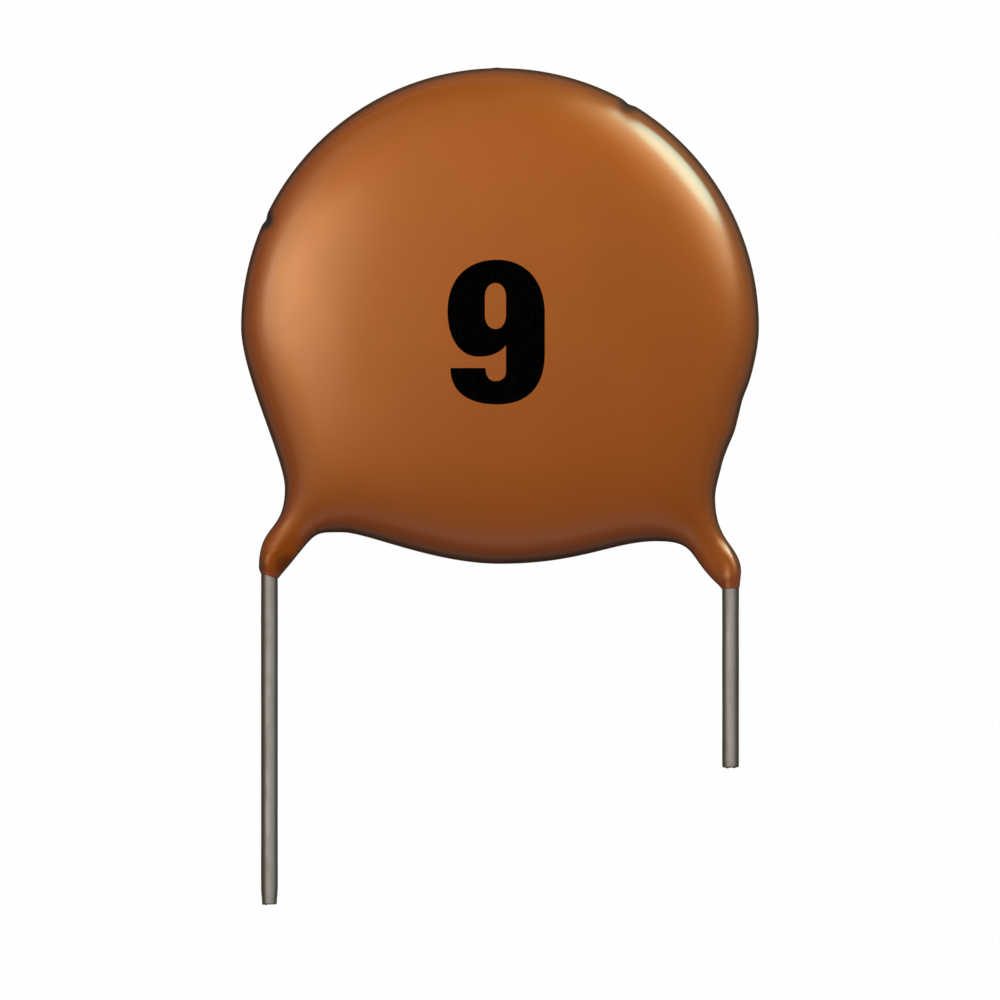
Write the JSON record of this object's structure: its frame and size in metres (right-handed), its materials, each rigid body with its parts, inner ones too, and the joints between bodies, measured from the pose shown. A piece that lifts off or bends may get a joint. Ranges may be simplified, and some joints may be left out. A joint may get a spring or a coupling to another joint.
{
  "type": "ceramic disc capacitor",
  "caption": "Resin-dipped ceramic disc capacitor: a round, flat, glossy brown body with splayed legs of resin over a pair of straight radial wire leads, cut to unlike lengths.",
  "frame": {"origin": "centre of the rear face, on the ceramic disc's axis", "axes": "+Z along the disc's axis from the rear face to the front face, -Y the way the leads leave, +X from the left lead to the right lead with the numbered front face up"},
  "size_m": [0.0168, 0.0272, 0.0036],
  "materials": {
    "resin_coat": "gloss",
    "fired_ceramic": "matte",
    "fired_silver": "satin",
    "tinned_wire": "satin",
    "solder": "satin",
    "marking_ink": "matte"
  },
  "bodies": {
    "root": {"coating": "resin_coat", "ceramic_disc": "fired_ceramic", "front_electrode": "fired_silver", "rear_electrode": "fired_silver", "left_lead": "tinned_wire", "right_lead": "tinned_wire", "front_solder": "solder", "rear_solder": "solder"}
  },
  "joints": []
}
